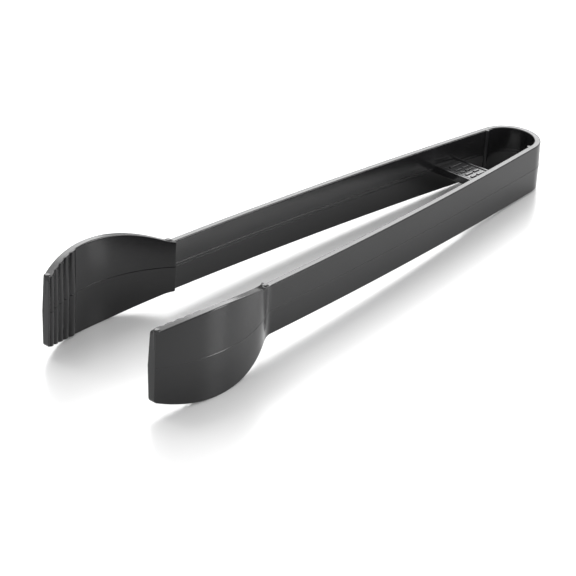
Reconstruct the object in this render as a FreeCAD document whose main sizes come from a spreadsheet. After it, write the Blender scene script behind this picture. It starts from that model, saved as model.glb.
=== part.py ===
import FreeCAD, Part
import math
import os
import Sketcher

# One-piece moulded tongs lying on their side.  +X runs from the bow to the claws, +Y is the
# right arm's side and +Z is up.  Every shape is drawn about the centre of the bow, with the
# mould's parting plane at z = 0; the nodes are then moved so that the origin of the part is
# under the middle of its length, level with the lowest points of the claws.

os.makedirs("parts", exist_ok=True)
doc = FreeCAD.newDocument("tongs")
V = FreeCAD.Vector

# ---------------------------------------------------------------- driving dimensions (mm, deg)
DIMENSIONS = [
    ("strip_height", "19.0", "height of the bow and the arms"),
    ("rim_wall", "2.45", "strip thickness at the top and bottom rims"),
    ("draft_angle", "1.4", "side faces lean out from each rim to the parting plane"),
    ("bow_radius", "11.4", "middle line of the bow"),
    ("arm_half_angle", "6.58", "direction of each arm where it leaves the bow"),
    ("arm_radius", "1860", "slight inward curve of the arms, middle line"),
    ("pivot_x", "55.7", "equivalent bending pivot of the arms"),
    ("knuckle_radius", "1.6", "round end of the arm solid about that pivot"),
    ("seat_gap", "0.03", "clearance between that end and its seat in the bow's arm"),
    ("junction_x", "160.2", "where the arm becomes the claw"),
    ("web_back_x", "14.6", "edge of the web towards the bow"),
    ("web_front_x", "27.4", "edge of the web towards the claws"),
    ("web_half_width", "14.0", "web blank, ends inside both walls"),
    ("web_plate_thick", "2.0", "thin middle of the web"),
    ("web_edge_thick", "3.0", "raised edges of the web"),
    ("web_edge_width", "1.2", "width of those edges along X"),
    ("panel_thick", "0.3", "raised panel on top of the web"),
    ("panel_gap", "0.4", "panel stands clear of the web edges"),
    ("panel_half_width", "10.2", "panel, half of its size along Y"),
    ("mark_height", "0.35", "raised blank bars on the panel"),
    ("mark_width", "1.1", "size of a bar along Y"),
    ("claw_plan_radius", "55.4", "outer face of the claw at its highest rim, seen from above"),
    ("claw_centre_x", "190.6", "centre of that curve"),
    ("claw_centre_back", "22.5", "distance of that centre past the middle plane"),
    ("claw_wall", "2.5", "claw thickness at its highest rim"),
    ("claw_half_height", "16.7", "highest point of the claw above the parting plane"),
    ("claw_top_x", "192.6", "position of that highest point"),
    ("claw_side_radius", "74", "arched top and bottom edges of the claw"),
    ("claw_tip_x", "216.1", "end of the claw at the parting plane"),
    ("tip_draft", "1.0", "the end leans back from the parting plane to both rims"),
    ("tip_corner", "2.0", "rounded corners of that end"),
    ("claw_sweep", "90", "angle of the claw blank before it is trimmed"),
    ("rib_radius", "3.0", "round grip ribs inside the claw tip"),
    ("rib_proud", "0.6", "how far the ribs stand out of the face"),
    ("rib_pitch", "3.5", "distance between the ribs along the face"),
    ("rib_first", "3.1", "distance of the first rib from the tip along the face"),
    ("boss_radius", "1.0", "half-round bosses inside the bow"),
    ("stud_radius", "1.3", "round studs on the claw rim"),
    ("stud_proud", "0.45", "how far a stud stands above the rim"),
    ("heel_stud_x", "162.0", "stud beside the arm"),
    ("heel_stud_y", "23.4", "stud beside the arm"),
    ("tip_stud_x", "214.1", "stud beside the tip"),
    ("tip_stud_y", "26.2", "stud beside the tip"),
    ("margin", "4.0", "how far cutting tools run past what they cut"),
]
RIB_COUNT = 5
MARK_ROWS = [
    (-8.3, [6.6]),
    (-5.2, [3.2, 3.4]),
    (-2.6, [4.2, 2.2]),
    (0.0, [2.8, 3.9]),
    (2.6, [3.9, 2.8]),
    (5.2, [2.6, 2.0, 1.4]),
    (8.3, [6.6]),
]
MARK_GAP = 0.8

dims = doc.addObject("Spreadsheet::Sheet", "dims")
for row, (alias, value, note) in enumerate(DIMENSIONS, start=1):
    dims.set("A%d" % row, alias)
    dims.set("B%d" % row, value)
    dims.set("C%d" % row, note)
    dims.setAlias("B%d" % row, alias)

# values worked out from the driving dimensions
DERIVED = [
    ("half_strip", "=strip_height / 2"),
    ("strip_lean", "=strip_height / 2 * tan(draft_angle * 1deg)"),
    ("claw_lean", "=claw_half_height * tan(draft_angle * 1deg)"),
    ("arm_centre_x", "=(arm_radius - bow_radius) * sin(arm_half_angle * 1deg)"),
    ("arm_centre_back", "=(arm_radius - bow_radius) * cos(arm_half_angle * 1deg)"),
    ("pivot_y", "=sqrt(arm_radius ^ 2 - (arm_centre_x - pivot_x) ^ 2) - arm_centre_back"),
    ("bow_sweep", "=180 - 2 * arm_half_angle"),
    ("claw_arc_z", "=claw_half_height - claw_side_radius"),
    ("claw_middle_radius", "=claw_plan_radius - claw_wall / 2"),
    ("bow_reach", "=bow_radius + rim_wall / 2 + strip_lean"),
    ("middle_x", "=(claw_tip_x - bow_reach) / 2"),
]
for row, (alias, formula) in enumerate(DERIVED, start=len(DIMENSIONS) + 1):
    dims.set("A%d" % row, alias)
    dims.set("B%d" % row, formula)
    dims.setAlias("B%d" % row, alias)
doc.recompute()


def size(alias):
    """Value of one named dimension."""
    return float(getattr(dims, alias))


def bind(thing, **formulas):
    """Tie properties of an object to the sheet; dots in a property path are written as __."""
    for prop, formula in formulas.items():
        thing.setExpression(prop.replace("__", "."), formula.replace("@", "dims."))


# ---------------------------------------------------------------- building blocks
def wall_section(name, radius, wall, half_height, lean):
    """Cross-section of a strip wall: thin at both rims and thickest at the parting plane.

    All four are names of dimensions; radius is the middle of the wall, measured from the
    sketch's upright axis.
    """
    sketch = doc.addObject("Sketcher::SketchObject", name)
    middle = size(radius)
    half_wall = size(wall) / 2
    top = size(half_height)
    bulge = size(lean)
    points = [
        (middle - half_wall, top),
        (middle + half_wall, top),
        (middle + half_wall + bulge, 0),
        (middle + half_wall, -top),
        (middle - half_wall, -top),
        (middle - half_wall - bulge, 0),
    ]
    count = len(points)
    for index in range(count):
        start = V(*points[index], 0)
        end = V(*points[(index + 1) % count], 0)
        sketch.addGeometry(Part.LineSegment(start, end), False)
    for index in range(count):
        sketch.addConstraint(Sketcher.Constraint("Coincident", index, 2, (index + 1) % count, 1))
    sketch.addConstraint(Sketcher.Constraint("Horizontal", 0))
    sketch.addConstraint(Sketcher.Constraint("PointOnObject", 2, 1, -1))
    sketch.addConstraint(Sketcher.Constraint("PointOnObject", 5, 1, -1))
    sketch.addConstraint(Sketcher.Constraint("Symmetric", 1, 1, 3, 1, -1))
    sketch.addConstraint(Sketcher.Constraint("Symmetric", 0, 1, 4, 1, -1))
    inner = "@%s - @%s / 2" % (radius, wall)
    outer = "@%s + @%s / 2" % (radius, wall)
    placed = [
        ("DistanceX", 0, points[0][0], inner),
        ("DistanceX", 1, points[1][0], outer),
        ("DistanceX", 2, points[2][0], outer + " + @" + lean),
        ("DistanceX", 5, points[5][0], inner + " - @" + lean),
        ("DistanceY", 1, points[1][1], "@" + half_height),
    ]
    for kind, corner, value, formula in placed:
        index = sketch.addConstraint(Sketcher.Constraint(kind, -1, 1, corner, 1, value))
        sketch.setExpression("Constraints[%d]" % index, formula.replace("@", "dims."))
    return sketch


def revolved(name, sketch, angle, symmetric):
    """Sweep a wall section about the upright axis through the sketch's origin."""
    solid = doc.addObject("Part::Revolution", name)
    solid.Source = sketch
    solid.Axis = V(0, 0, 1)
    solid.Base = sketch.Placement.Base
    solid.Solid = True
    solid.Symmetric = symmetric
    bind(solid, Angle=angle)
    return solid


def box(name, x0, x1, y0, y1, z0, z1):
    """Box between pairs of coordinates, each given as a formula."""
    solid = doc.addObject("Part::Box", name)
    bind(
        solid,
        Length="(%s) - (%s)" % (x1, x0),
        Width="(%s) - (%s)" % (y1, y0),
        Height="(%s) - (%s)" % (z1, z0),
        Placement__Base__x=x0,
        Placement__Base__y=y0,
        Placement__Base__z=z0,
    )
    return solid


def post(name, radius, x, y, z0, z1):
    """Upright cylinder, with each coordinate given as a formula."""
    solid = doc.addObject("Part::Cylinder", name)
    bind(
        solid,
        Radius=radius,
        Height="(%s) - (%s)" % (z1, z0),
        Placement__Base__x=x,
        Placement__Base__y=y,
        Placement__Base__z=z0,
    )
    return solid


def joined(name, pieces):
    """Union of several solids."""
    solid = doc.addObject("Part::MultiFuse", name)
    solid.Shapes = pieces
    solid.Refine = False
    return solid


def trimmed(name, base, tool):
    """What two solids share."""
    solid = doc.addObject("Part::MultiCommon", name)
    solid.Shapes = [base, tool]
    solid.Refine = False
    return solid


def cut(name, base, tool):
    """One solid with another taken away."""
    solid = doc.addObject("Part::Cut", name)
    solid.Base = base
    solid.Tool = tool
    solid.Refine = False
    return solid


def mirrored(name, source):
    """Left-hand copy of a right-hand solid."""
    solid = doc.addObject("Part::Mirroring", name)
    solid.Source = source
    solid.Base = V(0, 0, 0)
    solid.Normal = V(0, 1, 0)
    solid.Label = name
    return solid


# ---------------------------------------------------------------- strip walls
# The bow is swept from the -X side, so the section's own X axis points along -X.
bow_section = wall_section("bow_section", "bow_radius", "rim_wall", "half_strip", "strip_lean")
bow_section.Placement = FreeCAD.Placement(
    V(0, 0, 0),
    FreeCAD.Rotation(V(0, 0, 1), 180).multiply(FreeCAD.Rotation(V(1, 0, 0), 90)),
)
bow_wall = revolved("bow_wall", bow_section, "@bow_sweep", True)

# The right arm's curve shares its tangent with the bow and is swept back to it from +Y.
arm_section = wall_section("arm_section", "arm_radius", "rim_wall", "half_strip", "strip_lean")
arm_section.Placement = FreeCAD.Placement(
    V(size("arm_centre_x"), -size("arm_centre_back"), 0), FreeCAD.Rotation(V(1, 1, 1), 120)
)
right_wall = revolved("right_wall", arm_section, "@arm_half_angle", False)
left_wall = mirrored("left_wall", right_wall)

# The zone of the right arm runs from the round knuckle at the pivot to the claw.
arm_block = box("arm_block", "@pivot_x", "@junction_x", "0", "@arm_radius / 20",
                "-@strip_height", "@strip_height")
knuckle = post("knuckle", "@knuckle_radius", "@pivot_x", "@pivot_y",
               "-@strip_height", "@strip_height")
right_zone = joined("right_zone", [arm_block, knuckle])
beyond = box("beyond", "@pivot_x", "@claw_tip_x + @margin", "-@arm_radius / 20",
             "@arm_radius / 20", "-@strip_height", "@strip_height")
right_seat = post("right_seat", "@knuckle_radius + @seat_gap", "@pivot_x", "@pivot_y",
                  "-@strip_height", "@strip_height")
left_seat = mirrored("left_seat", right_seat)
head_tool = joined("head_tool", [beyond, right_seat, left_seat])

right_arm = trimmed("right_arm", right_wall, right_zone)
right_arm.Label = "right_arm"
left_arm = mirrored("left_arm", right_arm)

# ---------------------------------------------------------------- bow with its two roots
whole_strip = joined("whole_strip", [bow_wall, right_wall, left_wall])
boss_y = "(@bow_radius - @rim_wall / 2) / cos(@arm_half_angle * 1deg)"
right_boss = post("right_boss", "@boss_radius", "0", boss_y, "-@half_strip", "@half_strip")
left_boss = mirrored("left_boss", right_boss)
strip_with_bosses = joined("strip_with_bosses", [whole_strip, right_boss, left_boss])
spring_bow = cut("spring_bow", strip_with_bosses, head_tool)
spring_bow.Label = "spring_bow"

# ---------------------------------------------------------------- web between the arms
web_blank = box("web_blank", "@web_back_x", "@web_front_x", "-@web_half_width",
                "@web_half_width", "-@web_plate_thick / 2", "@web_plate_thick / 2")
back_edge = box("back_edge", "@web_back_x", "@web_back_x + @web_edge_width",
                "-@web_half_width", "@web_half_width",
                "-@web_edge_thick / 2", "@web_edge_thick / 2")
front_edge = box("front_edge", "@web_front_x - @web_edge_width", "@web_front_x",
                 "-@web_half_width", "@web_half_width",
                 "-@web_edge_thick / 2", "@web_edge_thick / 2")
web_solid = joined("web_solid", [web_blank, back_edge, front_edge])
web_plate = cut("web_plate", web_solid, whole_strip)
web_plate.Label = "web_plate"

# ---------------------------------------------------------------- panel with plain raised bars
panel_x0 = "@web_back_x + @web_edge_width + @panel_gap"
panel_x1 = "@web_front_x - @web_edge_width - @panel_gap"
panel_top = "@web_plate_thick / 2 + @panel_thick"
panel = box("panel", panel_x0, panel_x1, "-@panel_half_width", "@panel_half_width",
            "@web_plate_thick / 2", panel_top)
bars = [panel]
for row, (y, lengths) in enumerate(MARK_ROWS):
    row_length = sum(lengths) + MARK_GAP * (len(lengths) - 1)
    x = -row_length / 2
    for index, length in enumerate(lengths):
        start = "(@web_back_x + @web_front_x) / 2 + %g" % x
        bar = box("bar_%d_%d" % (row, index), start, "%s + %g" % (start, length),
                  "%g - @mark_width / 2" % y, "%g + @mark_width / 2" % y,
                  panel_top, panel_top + " + @mark_height")
        bars.append(bar)
        x = x + length + MARK_GAP
web_marks = joined("web_marks", bars)
web_marks.Label = "web_marks"

# ---------------------------------------------------------------- claws
claw_section = wall_section("claw_section", "claw_middle_radius", "claw_wall",
                            "claw_half_height", "claw_lean")
claw_section.Placement = FreeCAD.Placement(
    V(size("claw_centre_x"), -size("claw_centre_back"), 0), FreeCAD.Rotation(V(1, 1, 1), 120)
)
claw_wall = revolved("claw_wall", claw_section, "@claw_sweep", True)


def side_outline():
    """Side view of a claw: arched top and bottom, rounded corners and a tip with draft."""
    sketch = doc.addObject("Sketcher::SketchObject", "claw_outline")
    sketch.Placement = FreeCAD.Placement(V(0, 0, 0), FreeCAD.Rotation(V(1, 0, 0), 90))
    arch = size("claw_side_radius")
    corner = size("tip_corner")
    centre = V(size("claw_top_x"), size("claw_arc_z"), 0)
    heel = size("junction_x")
    tip = size("claw_tip_x")
    draft = math.radians(size("tip_draft"))
    corner_z = 0
    for attempt in range(20):
        corner_x = tip - (corner + corner_z * math.sin(draft)) / math.cos(draft)
        corner_z = centre.y + math.sqrt((arch - corner) ** 2 - (corner_x - centre.x) ** 2)
    end_x = corner_x + corner * math.cos(draft)
    end_z = corner_z + corner * math.sin(draft)
    corner_angle = math.atan2(corner_z - centre.y, corner_x - centre.x)
    heel_angle = math.atan2(math.sqrt(arch ** 2 - (heel - centre.x) ** 2), heel - centre.x)
    up = V(0, 0, 1)
    top = Part.ArcOfCircle(Part.Circle(centre, up, arch), corner_angle, heel_angle)
    top_corner = Part.ArcOfCircle(Part.Circle(V(corner_x, corner_z, 0), up, corner), draft,
                                  corner_angle)
    low_centre = V(centre.x, -centre.y, 0)
    low = Part.ArcOfCircle(Part.Circle(low_centre, up, arch), -heel_angle, -corner_angle)
    low_corner = Part.ArcOfCircle(Part.Circle(V(corner_x, -corner_z, 0), up, corner),
                                  -corner_angle, -draft)
    heel_z = centre.y + arch * math.sin(heel_angle)
    heel_line = Part.LineSegment(V(heel, heel_z, 0), V(heel, -heel_z, 0))
    top_line = Part.LineSegment(V(tip, 0, 0), V(end_x, end_z, 0))
    low_line = Part.LineSegment(V(end_x, -end_z, 0), V(tip, 0, 0))
    for curve in (top, top_corner, low, low_corner, heel_line, top_line, low_line):
        sketch.addGeometry(curve, False)
    # 0 top arch, 1 top corner, 2 low arch, 3 low corner, 4 heel, 5 and 6 halves of the tip
    sketch.addConstraint(Sketcher.Constraint("Coincident", 0, 2, 4, 1))
    sketch.addConstraint(Sketcher.Constraint("Coincident", 2, 1, 4, 2))
    sketch.addConstraint(Sketcher.Constraint("Tangent", 0, 1, 1, 2))
    sketch.addConstraint(Sketcher.Constraint("Tangent", 1, 1, 5, 2))
    sketch.addConstraint(Sketcher.Constraint("Tangent", 2, 2, 3, 1))
    sketch.addConstraint(Sketcher.Constraint("Tangent", 3, 2, 6, 1))
    sketch.addConstraint(Sketcher.Constraint("Coincident", 5, 1, 6, 2))
    sketch.addConstraint(Sketcher.Constraint("PointOnObject", 5, 1, -1))
    sketch.addConstraint(Sketcher.Constraint("Vertical", 4))
    sketch.addConstraint(Sketcher.Constraint("Symmetric", 0, 3, 2, 3, -1))
    sketch.addConstraint(Sketcher.Constraint("Equal", 0, 2))
    sketch.addConstraint(Sketcher.Constraint("Equal", 1, 3))
    placed = [
        (Sketcher.Constraint("Radius", 0, arch), "@claw_side_radius"),
        (Sketcher.Constraint("Radius", 1, corner), "@tip_corner"),
        (Sketcher.Constraint("DistanceX", -1, 1, 0, 3, centre.x), "@claw_top_x"),
        (Sketcher.Constraint("DistanceY", 0, 3, -1, 1, -centre.y), "-@claw_arc_z"),
        (Sketcher.Constraint("DistanceX", -1, 1, 4, 1, heel), "@junction_x"),
        (Sketcher.Constraint("DistanceX", -1, 1, 5, 1, tip), "@claw_tip_x"),
        (Sketcher.Constraint("Angle", 5, math.pi / 2 + draft), "(90 + @tip_draft) * 1deg"),
        (Sketcher.Constraint("Angle", 6, math.pi / 2 - draft), "(90 - @tip_draft) * 1deg"),
    ]
    for constraint, formula in placed:
        index = sketch.addConstraint(constraint)
        sketch.setExpression("Constraints[%d]" % index, formula.replace("@", "dims."))
    return sketch


outline = side_outline()
outline_block = doc.addObject("Part::Extrusion", "outline_block")
outline_block.Base = outline
outline_block.DirMode = "Custom"
outline_block.Dir = V(0, 1, 0)
outline_block.Solid = True
bind(outline_block, LengthFwd="@claw_plan_radius")
claw_plain = trimmed("claw_plain", claw_wall, outline_block)


def rim_height(alias):
    """Height of the claw's arched rim above a named X position."""
    reach = "(@claw_side_radius ^ 2 - (@%s - @claw_top_x) ^ 2)" % alias
    return "@claw_arc_z + sqrt(%s)" % reach


heel_stud = post("heel_stud", "@stud_radius", "@heel_stud_x", "@heel_stud_y", "0",
                 rim_height("heel_stud_x") + " + @stud_proud")
tip_stud = post("tip_stud", "@stud_radius", "@tip_stud_x", "@tip_stud_y", "0",
                rim_height("tip_stud_x") + " + @stud_proud")
right_claw = joined("right_claw", [claw_plain, heel_stud, tip_stud])
right_claw.Label = "right_claw"
left_claw = mirrored("left_claw", right_claw)


# ---------------------------------------------------------------- grip ribs
def rib_bars(side, lean):
    """Round bars side by side along the inner face, leaning with its draft on one side of z = 0."""
    inner = size("claw_plan_radius") - size("claw_wall") - size("claw_lean")
    reach = size("claw_tip_x") - size("claw_centre_x")
    tip_turn = math.asin(reach / inner)
    sunk = inner + size("rib_radius") - size("rib_proud")
    bars = []
    for index in range(RIB_COUNT):
        turn = tip_turn - (size("rib_first") + index * size("rib_pitch")) / inner
        hinge = V(-math.cos(turn), math.sin(turn), 0)
        turned = FreeCAD.Rotation(hinge, lean)
        foot = V(
            size("claw_centre_x") + sunk * math.sin(turn),
            sunk * math.cos(turn) - size("claw_centre_back"),
            0,
        )
        start = foot - turned.multVec(V(0, 0, size("margin")))
        bar = doc.addObject("Part::Cylinder", "rib_%s_%d" % (side, index))
        bar.Placement = FreeCAD.Placement(start, turned)
        bind(bar, Radius="@rib_radius", Height="@claw_half_height + @margin * 2")
        bars.append(bar)
    return bars


# The bars stay on the near side of the wall's middle, and each set on its own side of z = 0.
upper_core = post("upper_core", "@claw_middle_radius", "@claw_centre_x", "-@claw_centre_back",
                  "0", "@claw_side_radius")
lower_core = post("lower_core", "@claw_middle_radius", "@claw_centre_x", "-@claw_centre_back",
                  "-@claw_side_radius", "0")
upper_bars = joined("upper_bars", rib_bars("upper", size("draft_angle")))
lower_bars = joined("lower_bars", rib_bars("lower", 180 - size("draft_angle")))
upper_ribs = trimmed("upper_ribs", upper_bars, upper_core)
lower_ribs = trimmed("lower_ribs", lower_bars, lower_core)
rib_block = joined("rib_block", [upper_ribs, lower_ribs])
rib_trimmed = trimmed("rib_trimmed", rib_block, outline_block)
right_grip_ribs = cut("right_grip_ribs", rib_trimmed, claw_wall)
right_grip_ribs.Label = "right_grip_ribs"
left_grip_ribs = mirrored("left_grip_ribs", right_grip_ribs)

# ---------------------------------------------------------------- place the nodes in the part
# The left-hand nodes copy the right-hand ones where they stand, so they need no move.
for moved in (spring_bow, web_plate, web_marks, right_arm, right_claw, right_grip_ribs):
    bind(moved, Placement__Base__x="-@middle_x", Placement__Base__z="@claw_half_height")
doc.recompute()

# ---------------------------------------------------------------- checks and export
NODES = [
    spring_bow,
    web_plate,
    web_marks,
    right_arm,
    right_claw,
    right_grip_ribs,
    left_arm,
    left_claw,
    left_grip_ribs,
]
problems = []
for thing in doc.Objects:
    if "Invalid" in thing.State or "Error" in thing.State:
        problems.append("%s is %s" % (thing.Name, thing.State))
for node in NODES:
    shape = node.Shape
    if shape.isNull() or not shape.isValid() or len(shape.Solids) != 1:
        problems.append("%s has %d solids" % (node.Label, len(shape.Solids)))
if problems:
    raise RuntimeError("; ".join(problems))
for node in NODES:
    node.Shape.exportStep("parts/%s.step" % node.Label)
    bounds = node.Shape.BoundBox
    print(
        "%-16s %9.1f mm3  x %.2f %.2f  y %.2f %.2f  z %.2f %.2f"
        % (node.Label, node.Shape.Volume, bounds.XMin, bounds.XMax,
           bounds.YMin, bounds.YMax, bounds.ZMin, bounds.ZMax)
    )
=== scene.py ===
import math

import bmesh
import bpy
from mathutils import Matrix, Vector


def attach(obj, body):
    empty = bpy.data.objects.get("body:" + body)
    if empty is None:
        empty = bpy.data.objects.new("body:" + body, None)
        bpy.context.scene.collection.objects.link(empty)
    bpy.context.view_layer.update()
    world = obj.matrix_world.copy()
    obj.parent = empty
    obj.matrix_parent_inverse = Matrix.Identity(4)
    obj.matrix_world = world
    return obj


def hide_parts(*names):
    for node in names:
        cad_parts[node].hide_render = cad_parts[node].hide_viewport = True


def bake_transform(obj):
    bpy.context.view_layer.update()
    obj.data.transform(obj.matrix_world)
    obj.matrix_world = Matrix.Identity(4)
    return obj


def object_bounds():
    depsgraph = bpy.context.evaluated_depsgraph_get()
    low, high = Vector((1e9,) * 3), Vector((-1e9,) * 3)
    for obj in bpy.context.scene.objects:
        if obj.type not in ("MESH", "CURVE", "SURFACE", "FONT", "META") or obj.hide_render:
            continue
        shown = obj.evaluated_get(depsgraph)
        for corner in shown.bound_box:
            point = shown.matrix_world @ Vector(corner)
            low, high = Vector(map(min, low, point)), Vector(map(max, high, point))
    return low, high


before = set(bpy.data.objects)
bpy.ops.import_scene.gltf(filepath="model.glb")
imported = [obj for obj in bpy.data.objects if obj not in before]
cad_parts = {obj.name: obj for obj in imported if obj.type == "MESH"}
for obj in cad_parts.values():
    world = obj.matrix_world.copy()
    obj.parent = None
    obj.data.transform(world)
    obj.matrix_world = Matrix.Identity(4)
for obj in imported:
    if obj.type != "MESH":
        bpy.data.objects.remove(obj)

CAD_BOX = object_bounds()

# ------------------------------------------------------------------ sizes, in millimetres
# Drawn about the centre of the bow with the parting plane at z = 0; to_row() moves them.
STRIP_HALF = 9.5        # half of the strip's height
RIM_WALL = 2.45         # strip thickness at the rims
LEAN = math.tan(math.radians(1.4))
BOW_R = 11.4            # middle line of the bow
SPLAY = math.radians(6.58)
ARM_R = 1860.0          # middle line of the arms
ARM_CX = (ARM_R - BOW_R) * math.sin(SPLAY)
ARM_CY = -(ARM_R - BOW_R) * math.cos(SPLAY)
HEEL_X = 159.5          # arm becomes claw
CLAW_R = 55.4           # outer face of the claw at its highest rim
CLAW_WALL = 2.5
CLAW_CX = 190.6
CLAW_CY = -22.5
CLAW_HALF = 16.7
CLAW_TOP_X = 192.6
CLAW_SIDE_R = 74.0
TIP_X = 216.1
TIP_DRAFT = math.radians(1.0)
TIP_CORNER = 1.2
WEB_BACK = 14.6
WEB_FRONT = 27.4
FLEX_START = 28.0       # the bow's arm roots end and the arm pieces start here
RIM_ROUND = 0.35        # rounding of the rim edges
JOIN_SOFT = 1.6         # fillet where the arm's outer face runs into the claw
JOIN_SOFT_EDGE = 1.2    # the same where the strip's edges run into the arched edges
JOIN_BACK = 12.0        # the fillets act this far behind and in front of the heel
JOIN_FRONT = 10.0
DRAFT_FROM = 12.0       # length of the claw's end over which its sections lean with the tip
HEEL_ROUND = 0.6        # edge of the step on the inner face, where the thicker claw starts
HEEL_FILLET = 0.3
TIP_ROUND = 0.3
BOSS_R = 0.85           # half-round bosses inside the bow
STUD_R = 1.3            # round studs on the claw's upper rim
STUD_PROUD = 0.45
STUD_DOME = 0.7
STUD_FOOT = 6.0         # height at which the studs start, inside the claw
STUDS = ((161.0, 23.1), (214.7, 26.0))
OUTER_INSET = 0.06      # side faces lie this far inside, so the parting line stays in size
INNER_INSET = 0.02
RIDGE_DEPTH = INNER_INSET - 0.05
STEP_DEPTH = INNER_INSET - 0.07
# Parting line as (height, depth): a hairline ridge outside and on the claws' inner faces,
# and two fine steps along the inside of the bow and arms. The points on either side of a
# ridge or step lie on the plain face, so that the rest of the face shades evenly.
OUTER_LINE = [(0.4, OUTER_INSET), (0.2, OUTER_INSET), (0.1, 0.0),
              (-0.1, 0.0), (-0.2, OUTER_INSET), (-0.4, OUTER_INSET)]
CLAW_LINE = [(0.4, INNER_INSET), (0.16, INNER_INSET), (0.06, RIDGE_DEPTH),
             (-0.02, RIDGE_DEPTH), (-0.06, INNER_INSET), (-0.3, INNER_INSET)]
ARM_LINE = [(1.0, INNER_INSET), (0.78, INNER_INSET), (0.64, STEP_DEPTH),
            (0.6, INNER_INSET), (0.4, INNER_INSET), (-0.2, INNER_INSET),
            (-0.42, INNER_INSET), (-0.56, STEP_DEPTH), (-0.6, INNER_INSET),
            (-0.8, INNER_INSET)]

LOW, HIGH = (Vector(corner) for corner in CAD_BOX)
BOW_REACH = BOW_R + RIM_WALL / 2 + STRIP_HALF * LEAN
SHIFT = Vector((LOW.x * 1000 + BOW_REACH, 0, (LOW.z + HIGH.z) * 500))


def to_row(point):
    """Millimetres about the bow's centre to metres in the row frame."""
    return (Vector(point) + SHIFT) / 1000


# ------------------------------------------------------------------ outlines of the walls
def arc_y(radius, centre_x, centre_y, x):
    """Y on the upper half of a circle."""
    return centre_y + math.sqrt(radius * radius - (x - centre_x) ** 2)


def arm_side(x, z, side):
    """Y of the arm's outer (side 1) or inner (side -1) face."""
    lean = (STRIP_HALF - abs(z)) * LEAN
    return arc_y(ARM_R + side * (RIM_WALL / 2 + lean), ARM_CX, ARM_CY, x)


def claw_side(x, z, side):
    """Y of the claw's outer (side 1) or inner (side -1) face."""
    lean = (CLAW_HALF - abs(z)) * LEAN
    radius = CLAW_R + lean if side > 0 else CLAW_R - CLAW_WALL - lean
    return arc_y(radius, CLAW_CX, CLAW_CY, x)


def smooth_max(a, b, soft):
    """The larger of two values, rounded where they are less than soft apart."""
    near = max(soft - abs(a - b), 0) / soft
    return max(a, b) + near * near * soft / 4


def outer_y(x, z):
    """Y of the outer face where the arm runs into the claw with a fillet."""
    if x < HEEL_X - JOIN_BACK:
        return arm_side(x, z, 1)
    return smooth_max(arm_side(x, z, 1), claw_side(x, z, 1), JOIN_SOFT)


def claw_arch(x):
    """Half height of the claw from its arched edges, with the rounded corners at the tip."""
    arc_z = CLAW_HALF - CLAW_SIDE_R
    corner_x = TIP_X - TIP_CORNER
    if x <= corner_x:
        return arc_z + math.sqrt(CLAW_SIDE_R ** 2 - (x - CLAW_TOP_X) ** 2)
    corner_z = arc_z + math.sqrt((CLAW_SIDE_R - TIP_CORNER) ** 2 - (corner_x - CLAW_TOP_X) ** 2)
    return corner_z + math.sqrt(max(TIP_CORNER ** 2 - (x - corner_x) ** 2, 0))


def lean_back(x, z):
    """X of a section point, leaning back more and more towards the drafted tip."""
    share = max(0.0, (x - TIP_X) / DRAFT_FROM + 1)
    return x - share * abs(z) * math.tan(TIP_DRAFT)


def half_height(x):
    """Half height of the arm or claw, without a corner where one becomes the other."""
    if x < HEEL_X - JOIN_BACK:
        return STRIP_HALF
    if x < HEEL_X + JOIN_FRONT:
        return smooth_max(STRIP_HALF, claw_arch(x), JOIN_SOFT_EDGE)
    return claw_arch(x)


def inner_y_arm(x, z):
    """Y of the arm's inner face, with the small fillet up to the claw's step."""
    y = arm_side(x, z, -1)
    run = x - (HEEL_X - HEEL_FILLET)
    if run > 0:
        y -= HEEL_FILLET - math.sqrt(max(HEEL_FILLET ** 2 - run * run, 0))
    return y


def inner_y_claw(x, z):
    """Y of the claw's inner face, with the rounded edge of its step."""
    y = claw_side(x, z, -1)
    run = HEEL_ROUND - (x - HEEL_X)
    if run > 0:
        y += HEEL_ROUND - math.sqrt(max(HEEL_ROUND ** 2 - run * run, 0))
    return y


def tip_inset(x):
    """How far the section shrinks towards the rounded edges of the tip."""
    run = x - (TIP_X - TIP_ROUND)
    return TIP_ROUND - math.sqrt(max(TIP_ROUND ** 2 - run * run, 0)) if run > 0 else 0.0


# ------------------------------------------------------------------ mesh building
CORNER_STEPS = 5
RIM_MARGIN = 0.3        # flat strips beside the rounded rims, so that they shade cleanly
RIM_MARGIN_TOP = 0.15


def side_levels(half, inset, line):
    """(height, depth into the wall) down one side face, from the top rim to the bottom rim."""
    corner = []
    for step in range(CORNER_STEPS):
        turn = math.radians(90 * (1 - step / (CORNER_STEPS - 1)))
        depth = RIM_ROUND * (1 - math.cos(turn))
        corner.append((half - RIM_ROUND * (1 - math.sin(turn)), inset + depth))
    face = [
        (half - RIM_ROUND - RIM_MARGIN, inset),
        (half * 0.5, inset),
    ]
    top = corner + face
    return top + line + [(-z, depth) for z, depth in reversed(top)]


def wall_loop(outer, inner, half, inner_line=ARM_LINE):
    """Closed loop of points round one cross-section; outer and inner give (x, y) at a height."""

    def at(z, depth, from_outer):
        a = Vector(outer(z))
        b = Vector(inner(z))
        if not from_outer:
            a, b = b, a
        point = a + (b - a).normalized() * depth
        return Vector((point.x, point.y, z))

    outer_levels = side_levels(half, OUTER_INSET, OUTER_LINE)
    inner_levels = side_levels(half, INNER_INSET, inner_line)
    inset = OUTER_INSET + RIM_ROUND + RIM_MARGIN_TOP
    loop = [at(z, depth, True) for z, depth in outer_levels]
    loop.append(at(-half, inset, True))
    loop.append(at(-half, inset, False))
    loop.extend(at(z, depth, False) for z, depth in reversed(inner_levels))
    loop.append(at(half, inset, False))
    loop.append(at(half, inset, True))
    return loop


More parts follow.
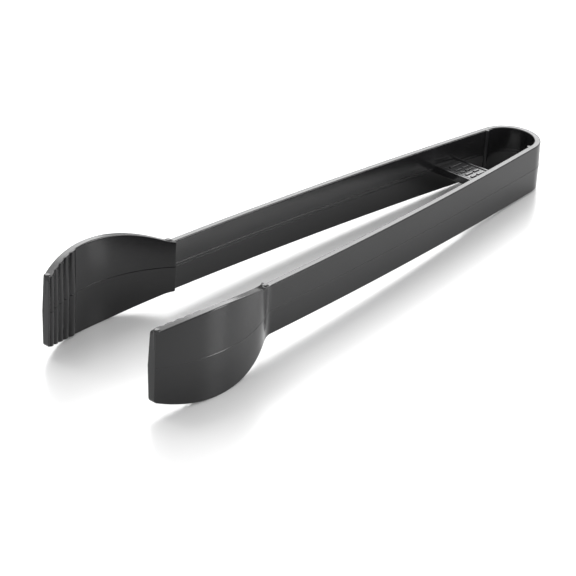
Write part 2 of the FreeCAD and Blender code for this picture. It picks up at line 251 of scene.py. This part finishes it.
def loft(bm, loops):
    """Skin between loops of the same length, closed with a face at both ends."""
    rings = [[bm.verts.new(point) for point in loop] for loop in loops]
    count = len(rings[0])
    for first, second in zip(rings, rings[1:]):
        for index in range(count):
            after = (index + 1) % count
            bm.faces.new((first[index], first[after], second[after], second[index]))
    bm.faces.new(rings[0])
    bm.faces.new(list(reversed(rings[-1])))


def round_post(bm, x, y, radius, z0, z1, edge, steps=28, dome_steps=4):
    """Upright round bar with a chamfered foot and a rounded top."""
    rows = [(radius - edge, z0), (radius, z0 + edge), (radius, z1 - edge)]
    for step in range(1, dome_steps + 1):
        turn = math.radians(90 * step / dome_steps)
        rows.append((radius - edge * (1 - math.cos(turn)), z1 - edge * (1 - math.sin(turn))))
    loops = []
    for reach, z in rows:
        ring = []
        for index in range(steps):
            angle = 2 * math.pi * index / steps
            ring.append(Vector((x + reach * math.cos(angle), y + reach * math.sin(angle), z)))
        loops.append(ring)
    loft(bm, loops)


def soft_box(bm, low, high, edge):
    """Small block with rounded edges."""
    block = bmesh.new()
    bmesh.ops.create_cube(block, size=1)
    centre = (Vector(low) + Vector(high)) / 2
    scale = Vector(high) - Vector(low)
    for vert in block.verts:
        vert.co = centre + Vector(a * b for a, b in zip(vert.co, scale))
    bmesh.ops.bevel(block, geom=block.edges[:], offset=edge, segments=3, profile=0.5,
                    affect="EDGES")
    mesh = bpy.data.meshes.new("block")
    block.to_mesh(mesh)
    block.free()
    bm.from_mesh(mesh)
    bpy.data.meshes.remove(mesh)


def make_piece(name, bm, mirror=False, smooth_angle=28):
    """Mesh object in the row frame; the drawn coordinates stay on it for the materials."""
    bmesh.ops.recalc_face_normals(bm, faces=bm.faces)
    if mirror:
        for vert in bm.verts:
            vert.co.y = -vert.co.y
        bmesh.ops.reverse_faces(bm, faces=bm.faces)
    mesh = bpy.data.meshes.new(name)
    bm.to_mesh(mesh)
    bm.free()
    drawn = mesh.attributes.new("drawn", "FLOAT_VECTOR", "POINT")
    flat = []
    for vert in mesh.vertices:
        flat.extend(vert.co)
        vert.co = to_row(vert.co)
    drawn.data.foreach_set("vector", flat)
    for polygon in mesh.polygons:
        polygon.use_smooth = True
    mesh.set_sharp_from_angle(angle=math.radians(smooth_angle))
    piece = bpy.data.objects.new(name, mesh)
    bpy.context.collection.objects.link(piece)
    return piece


def spread(start, end, step):
    """Evenly spaced values from start to end, about step apart."""
    count = max(1, round(abs(end - start) / step))
    return [start + (end - start) * index / count for index in range(count + 1)]


# ------------------------------------------------------------------ bow and web
ROOT_END = 1.0          # the arms' roots end here and the round of the bow starts
ROOT_STEP = 1.5
BOW_STEP = math.radians(4)
BOSS_SHORT = 0.01       # the bosses end this far inside the rims
BOSS_DOME = 0.3


def bow_mesh():
    """Bow with the roots of both arms, swept from one arm round to the other."""
    bm = bmesh.new()
    loops = []
    root = spread(FLEX_START, ROOT_END, ROOT_STEP)
    for x in root:
        loops.append(wall_loop(
            lambda z, x=x: (x, arm_side(x, z, 1)),
            lambda z, x=x: (x, arm_side(x, z, -1)), STRIP_HALF))
    first = math.pi / 2 + SPLAY
    for angle in spread(first, 2 * math.pi - first, BOW_STEP):
        across = Vector((math.cos(angle), math.sin(angle)))

        def wall(z, side, across=across):
            reach = BOW_R + side * (RIM_WALL / 2 + (STRIP_HALF - abs(z)) * LEAN)
            return across * reach

        loops.append(wall_loop(lambda z: wall(z, 1), lambda z: wall(z, -1), STRIP_HALF))
    for x in reversed(root):
        loops.append(wall_loop(
            lambda z, x=x: (x, -arm_side(x, z, 1)),
            lambda z, x=x: (x, -arm_side(x, z, -1)), STRIP_HALF))
    loft(bm, loops)
    boss_y = (BOW_R - RIM_WALL / 2) / math.cos(SPLAY)
    boss_half = STRIP_HALF - BOSS_SHORT
    for side in (1, -1):
        round_post(bm, 0.0, side * boss_y, BOSS_R, -boss_half, boss_half, BOSS_DOME)
    return bm


WEB_PLATE_TOP = 1.0
WEB_BAR_TOP = 1.5
WEB_BAR_WIDTH = 1.2
WEB_SOFT = 0.3          # rounding of the bars
WEB_INTO_WALL = 0.5     # the web's ends are sunk into the arms


def web_mesh():
    """Thin plate with a raised round-edged bar along its front and back, swept across."""
    plate, edge, width, soft = WEB_PLATE_TOP, WEB_BAR_TOP, WEB_BAR_WIDTH, WEB_SOFT
    outline = []

    def corner(x, z, start):
        """Quarter turn about (x, z), clockwise from an angle in degrees."""
        for step in range(4):
            turn = math.radians(start - 90 * step / 3)
            outline.append((x + soft * math.cos(turn), z + soft * math.sin(turn)))

    corner(WEB_BACK + soft, edge - soft, 180)
    corner(WEB_BACK + width - soft, edge - soft, 90)
    outline.append((WEB_BACK + width, plate + soft))
    outline.append((WEB_BACK + width + soft * 0.3, plate + soft * 0.3))
    outline.append((WEB_BACK + width + soft, plate))
    outline.append((WEB_FRONT - width - soft, plate))
    outline.append((WEB_FRONT - width - soft * 0.3, plate + soft * 0.3))
    outline.append((WEB_FRONT - width, plate + soft))
    corner(WEB_FRONT - width + soft, edge - soft, 180)
    corner(WEB_FRONT - soft, edge - soft, 90)
    outline = outline + [(x, -z) for x, z in reversed(outline)]
    bm = bmesh.new()
    loops = []
    for share in spread(-1, 1, 0.1):
        loops.append([
            Vector((x, share * (arm_side(x, z, -1) + WEB_INTO_WALL), z)) for x, z in outline])
    loft(bm, loops)
    return bm


# Plain raised bars on the web: rows at a given y, each with the lengths of its bars along x.
MARK_ROWS = [
    (-8.3, [6.6]),
    (-5.2, [3.2, 3.4]),
    (-2.6, [4.2, 2.2]),
    (0.0, [2.8, 3.9]),
    (2.6, [3.9, 2.8]),
    (5.2, [2.6, 2.0, 1.4]),
    (8.3, [6.6]),
]
MARK_GAP = 0.8
MARK_HALF_WIDTH = 0.55
MARK_FOOT, MARK_TOP = 1.2, 1.65
PANEL_MARGIN = 1.6      # from the web's edges to the panel under the bars
PANEL_HALF_WIDTH = 10.2
PANEL_FOOT, PANEL_TOP = 0.9, 1.3
PANEL_SOFT = 0.12       # rounding of the panel's edges and of the bars' edges
MARK_SOFT = 0.15


def marks_mesh():
    """Low panel on the web with rows of plain bars on it."""
    bm = bmesh.new()
    middle = (WEB_BACK + WEB_FRONT) / 2
    soft_box(bm, (WEB_BACK + PANEL_MARGIN, -PANEL_HALF_WIDTH, PANEL_FOOT),
             (WEB_FRONT - PANEL_MARGIN, PANEL_HALF_WIDTH, PANEL_TOP), PANEL_SOFT)
    for y, lengths in MARK_ROWS:
        x = middle - (sum(lengths) + MARK_GAP * (len(lengths) - 1)) / 2
        for length in lengths:
            soft_box(bm, (x, y - MARK_HALF_WIDTH, MARK_FOOT),
                     (x + length, y + MARK_HALF_WIDTH, MARK_TOP), MARK_SOFT)
            x += length + MARK_GAP
    return bm


# ------------------------------------------------------------------ arms, claws and ribs
ARM_STEP = 2.0          # distance between sections
FINE_FROM = 150.0       # from here to the claw they stand closer
FINE_STEP = 0.6
CLAW_FINE_TO = 9.0      # and also over this length of the claw
CLAW_FINE_STEP = 0.5
CLAW_STEP = 0.8


def arm_mesh():
    """Strip from the bow's root to the claw."""
    bm = bmesh.new()
    stations = spread(FLEX_START, FINE_FROM, ARM_STEP)
    stations += spread(FINE_FROM + 0.8, HEEL_X - 0.45, FINE_STEP)
    # close together over the fillet at the step
    stations += [HEEL_X - back for back in (0.3, 0.24, 0.18, 0.12, 0.06, 0.02, 0.0)]
    loops = [
        wall_loop(lambda z, x=x: (x, outer_y(x, z)), lambda z, x=x: (x, inner_y_arm(x, z)),
                  half_height(x))
        for x in stations]
    loft(bm, loops)
    return bm


def claw_mesh():
    """Claw with its two studs."""
    bm = bmesh.new()
    # close together over the rounded edge of the step
    stations = [HEEL_X + on for on in (0.0, 0.02, 0.07, 0.16, 0.28, 0.42, 0.6, 0.8, 1.1)]
    stations += spread(HEEL_X + 1.5, HEEL_X + CLAW_FINE_TO, CLAW_FINE_STEP)[:-1]
    stations += spread(HEEL_X + CLAW_FINE_TO, TIP_X - TIP_CORNER - 0.2, CLAW_STEP)
    # round the corners of the tip, then over the rounded edge of its end
    corner_steps = [math.sin(math.radians(angle)) for angle in range(8, 76, 8)]
    stations += [TIP_X - TIP_CORNER + TIP_CORNER * share for share in corner_steps]
    stations += [TIP_X - TIP_ROUND * share for share in (0.12, 0.05, 0.012, 0.0)]

    def station(x):
        inset = tip_inset(x)
        return wall_loop(
            lambda z: (lean_back(x, z), outer_y(lean_back(x, z), z) - inset),
            lambda z: (lean_back(x, z), inner_y_claw(lean_back(x, z), z) + inset),
            half_height(x) - inset, CLAW_LINE)

    loft(bm, [station(x) for x in stations])
    for x, y in STUDS:
        round_post(bm, x, y, STUD_R, STUD_FOOT, half_height(x) + STUD_PROUD, STUD_DOME)
    return bm


RIB_COUNT = 5
RIB_R = 3.0             # radius of a rib's round face
RIB_PROUD = 0.6
RIB_PITCH = 3.5         # between ribs, along the claw's inner face
RIB_FIRST = 3.1         # from the tip to the first rib
RIB_SUNK = 0.3          # between the ribs the skin lies this deep inside the claw
RIB_VALLEY = 0.12       # rounding where a rib meets the claw
RIBS_FROM, RIBS_TO = 196.2, 215.2
RIBS_STEP = 0.2
RIBS_INTO_WALL = 0.9
RIBS_BELOW_RIM = 0.03


def rib_height(x):
    """How far the ribbed face stands out of the claw's inner face."""
    radius = CLAW_R - CLAW_WALL - CLAW_HALF * LEAN
    along = radius * (math.asin((TIP_X - CLAW_CX) / radius) - math.asin((x - CLAW_CX) / radius))
    height = -RIB_SUNK
    for index in range(RIB_COUNT):
        off = along - RIB_FIRST - index * RIB_PITCH
        if abs(off) < RIB_R:
            bump = math.sqrt(RIB_R ** 2 - off * off) - (RIB_R - RIB_PROUD)
            height = smooth_max(height, bump, RIB_VALLEY)
    return height


def ribs_mesh():
    """Ribbed grip face inside the tip of a claw."""
    bm = bmesh.new()
    stations = spread(RIBS_FROM, RIBS_TO, RIBS_STEP)

    def station(x):
        rise = rib_height(x)
        return wall_loop(
            lambda z: (lean_back(x, z), claw_side(lean_back(x, z), z, -1) + RIBS_INTO_WALL),
            lambda z: (lean_back(x, z), claw_side(lean_back(x, z), z, -1) - rise),
            claw_arch(x) - RIBS_BELOW_RIM, CLAW_LINE)

    loft(bm, [station(x) for x in stations])
    return bm


# ------------------------------------------------------------------ material
BASE_TONE = 0.009
EDGE_TONE = 0.008       # how much paler the edges are, and the scuffs
SCUFF_TONE = 0.010
EDGE_ROUGH = 0.06
SCUFF_ROUGH = 0.12
REFRACTION = 1.45
GRAIN_STRENGTH = 0.25
GRAIN_DEPTH = 0.00001   # metres
MOULDED_ROUGH = 0.17
POLISHED_ROUGH = 0.085


def plastic(name, rough):
    """Black plastic with fine scuffs, patches of other gloss, paler edges and a faint grain."""
    material = bpy.data.materials.new(name)
    material.use_nodes = True
    tree = material.node_tree
    nodes = tree.nodes
    links = tree.links
    nodes.clear()

    out = nodes.new("ShaderNodeOutputMaterial")
    shader = nodes.new("ShaderNodeBsdfPrincipled")
    shader.inputs["IOR"].default_value = REFRACTION
    links.new(shader.outputs["BSDF"], out.inputs["Surface"])
    drawn = nodes.new("ShaderNodeAttribute")
    drawn.attribute_name = "drawn"

    def noise(scale, detail, stretch=(1, 1, 1), turn=0.0):
        """Noise on the drawn coordinates, so it stays on a piece that moves or bends."""
        mapping = nodes.new("ShaderNodeMapping")
        mapping.inputs["Scale"].default_value = stretch
        mapping.inputs["Rotation"].default_value = (0.0, turn, turn * 0.6)
        links.new(drawn.outputs["Vector"], mapping.inputs["Vector"])
        made = nodes.new("ShaderNodeTexNoise")
        made.inputs["Scale"].default_value = scale
        made.inputs["Detail"].default_value = detail
        made.inputs["Roughness"].default_value = 0.5
        links.new(mapping.outputs["Vector"], made.inputs["Vector"])
        return made.outputs["Fac"]

    def ramp(value, low, high, to_low, to_high):
        """Value carried from one range to another, held at its ends."""
        made = nodes.new("ShaderNodeMapRange")
        made.inputs["From Min"].default_value = low
        made.inputs["From Max"].default_value = high
        made.inputs["To Min"].default_value = to_low
        made.inputs["To Max"].default_value = to_high
        links.new(value, made.inputs["Value"])
        return made.outputs["Result"]

    def math_node(kind, a, b):
        made = nodes.new("ShaderNodeMath")
        made.operation = kind
        for socket, value in zip(made.inputs, (a, b)):
            if isinstance(value, (int, float)):
                socket.default_value = value
            else:
                links.new(value, socket)
        return made.outputs["Value"]

    def hairlines(turn, scale):
        """Scuffs: thin bright bands along the middle value of a stretched noise."""
        field = noise(scale, 1.0, (0.06, 1.6, 1.6), turn)
        band = math_node("ABSOLUTE", math_node("SUBTRACT", field, 0.5), 0.0)
        line = ramp(band, 0.0, 0.006, 1.0, 0.0)
        where = ramp(noise(0.09, 2.0, turn=turn + 1.0), 0.52, 0.66, 0.0, 1.0)
        return math_node("MULTIPLY", line, where)

    scuff = math_node("MAXIMUM", hairlines(0.35, 1.1), hairlines(-0.5, 1.4))
    # the scale of a noise is per millimetre
    streaks = noise(0.5, 4.0, (0.05, 1.0, 1.0))
    cloud = noise(0.05, 3.0)
    grain = noise(3.2, 2.0)
    ripple = noise(0.35, 2.0)
    geometry = nodes.new("ShaderNodeNewGeometry")
    edge = ramp(geometry.outputs["Pointiness"], 0.52, 0.60, 0.0, 1.0)

    tone = math_node("ADD", ramp(cloud, 0.3, 0.7, BASE_TONE * 0.85, BASE_TONE * 1.2),
                     math_node("MULTIPLY", scuff, SCUFF_TONE))
    tone = math_node("ADD", tone, math_node("MULTIPLY", edge, EDGE_TONE))
    colour = nodes.new("ShaderNodeCombineColor")
    links.new(tone, colour.inputs["Red"])
    links.new(tone, colour.inputs["Green"])
    links.new(math_node("MULTIPLY", tone, 1.06), colour.inputs["Blue"])
    links.new(colour.outputs["Color"], shader.inputs["Base Color"])

    gloss = math_node("ADD", ramp(streaks, 0.3, 0.7, rough - 0.015, rough + 0.02),
                      ramp(cloud, 0.35, 0.65, -0.012, 0.02))
    gloss = math_node("ADD", gloss, math_node("MULTIPLY", scuff, SCUFF_ROUGH))
    gloss = math_node("ADD", gloss, math_node("MULTIPLY", edge, EDGE_ROUGH))
    links.new(gloss, shader.inputs["Roughness"])

    height = math_node("ADD", math_node("MULTIPLY", grain, 0.5),
                       math_node("MULTIPLY", ripple, 1.6))
    height = math_node("SUBTRACT", height, math_node("MULTIPLY", scuff, 0.5))
    bump = nodes.new("ShaderNodeBump")
    bump.inputs["Strength"].default_value = GRAIN_STRENGTH
    bump.inputs["Distance"].default_value = GRAIN_DEPTH
    links.new(height, bump.inputs["Height"])
    links.new(bump.outputs["Normal"], shader.inputs["Normal"])
    return material


# ------------------------------------------------------------------ pieces on their bodies
BLACK = plastic("moulded_black_plastic", MOULDED_ROUGH)
POLISHED = plastic("polished_black_plastic", POLISHED_ROUGH)
CRISP = 12              # degrees; above this an edge of the web or its bars is drawn sharp


def place(piece, body, *nodes, finish=BLACK):
    """Give a rigid piece its plastic, the CAD nodes it replaces and its body."""
    piece.data.materials.append(finish)
    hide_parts(*nodes)
    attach(piece, body)


place(make_piece("bow", bow_mesh()), "head", "spring_bow")
place(make_piece("web", web_mesh(), smooth_angle=CRISP), "head", "web_plate",
      finish=POLISHED)
place(make_piece("marks", marks_mesh(), smooth_angle=CRISP), "head", "web_marks",
      finish=POLISHED)
for side, mirror in (("right", False), ("left", True)):
    body = side + "_side"
    arm = make_piece(side + "_arm_skin", arm_mesh(), mirror)
    arm.data.materials.append(BLACK)
    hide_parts(side + "_arm")
    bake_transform(arm)
    place(make_piece(side + "_claw_skin", claw_mesh(), mirror), body, side + "_claw")
    place(make_piece(side + "_ribs", ribs_mesh(), mirror), body, side + "_grip_ribs")


# ------------------------------------------------------------------ floor, light and camera
FLOOR_GREY = 0.78
FLOOR_ROUGH = 0.25
FLOOR_HALF = 4          # metres, as are the distances below
SKY_STRENGTH = 0.95


def plain_material(name, grey, rough):
    """Plain grey material without texture."""
    material = bpy.data.materials.new(name)
    material.use_nodes = True
    shader = material.node_tree.nodes["Principled BSDF"]
    shader.inputs["Base Color"].default_value = (grey, grey, grey, 1)
    shader.inputs["Roughness"].default_value = rough
    return material


# The tongs rest on the low points of both claws and on the bow's rim, so the floor leans.
claw_foot = to_row((CLAW_TOP_X, 0, -CLAW_HALF))
bow_foot = to_row((-BOW_R - RIM_WALL / 2, 0, -STRIP_HALF))
lean = math.atan2(bow_foot.z - claw_foot.z, claw_foot.x - bow_foot.x)
floor_mesh = bpy.data.meshes.new("floor")
floor_bm = bmesh.new()
bmesh.ops.create_grid(floor_bm, x_segments=1, y_segments=1, size=FLOOR_HALF)
floor_bm.to_mesh(floor_mesh)
floor_bm.free()
floor = bpy.data.objects.new("floor", floor_mesh)
floor.rotation_euler = (0, lean, 0)
floor.location = (claw_foot + bow_foot) / 2
bpy.context.collection.objects.link(floor)
floor_mesh.materials.append(plain_material("white_floor", FLOOR_GREY, FLOOR_ROUGH))

world = bpy.data.worlds.new("studio")
world.use_nodes = True
sky = world.node_tree.nodes["Background"]
sky.inputs["Color"].default_value = (1, 1, 1, 1)
sky.inputs["Strength"].default_value = SKY_STRENGTH
bpy.context.scene.world = world
bpy.context.scene.view_settings.view_transform = "Standard"

VIEW_AZ = math.radians(41.49)
VIEW_EL = math.radians(27.16)


def direction(azimuth, elevation):
    """Unit vector from the object towards a place seen at these angles."""
    return Vector((math.cos(elevation) * math.cos(azimuth),
                   math.cos(elevation) * math.sin(azimuth), math.sin(elevation)))


def area_light(name, azimuth, elevation, distance, size, power):
    """Rectangular light that faces the object."""
    lamp = bpy.data.lights.new(name, "AREA")
    lamp.shape = "RECTANGLE"
    lamp.size, lamp.size_y = size
    lamp.energy = power
    light = bpy.data.objects.new(name, lamp)
    toward = direction(azimuth, math.radians(elevation))
    light.location = toward * distance
    light.rotation_euler = (-toward).to_track_quat("-Z", "Y").to_euler()
    bpy.context.collection.objects.link(light)


area_light("back_softbox", VIEW_AZ + math.pi, 32, 1.6, (1.5, 0.7), 15)
area_light("high_softbox", VIEW_AZ + math.radians(214), 60, 1.5, (1.4, 0.8), 11)
area_light("side_strip", math.radians(123), 16, 1.3, (0.32, 0.7), 8)

ROLL = math.radians(3.03)
AIM = Vector((0.01657, -0.00436, 0.00031))
DISTANCE = 0.8854
LENS = 154.2
optics = bpy.data.cameras.new("camera")
optics.lens = LENS
optics.sensor_width = 36
optics.clip_start = 0.05
optics.clip_end = 20
camera = bpy.data.objects.new("camera", optics)
back = direction(VIEW_AZ, VIEW_EL)
right = Vector((-math.sin(VIEW_AZ), math.cos(VIEW_AZ), 0))
up = back.cross(right)
right, up = (math.cos(ROLL) * right + math.sin(ROLL) * up,
             math.cos(ROLL) * up - math.sin(ROLL) * right)
turn = Matrix((right, up, back)).transposed()
camera.matrix_world = Matrix.Translation(AIM + back * DISTANCE) @ turn.to_4x4()
bpy.context.collection.objects.link(camera)
bpy.context.scene.camera = camera
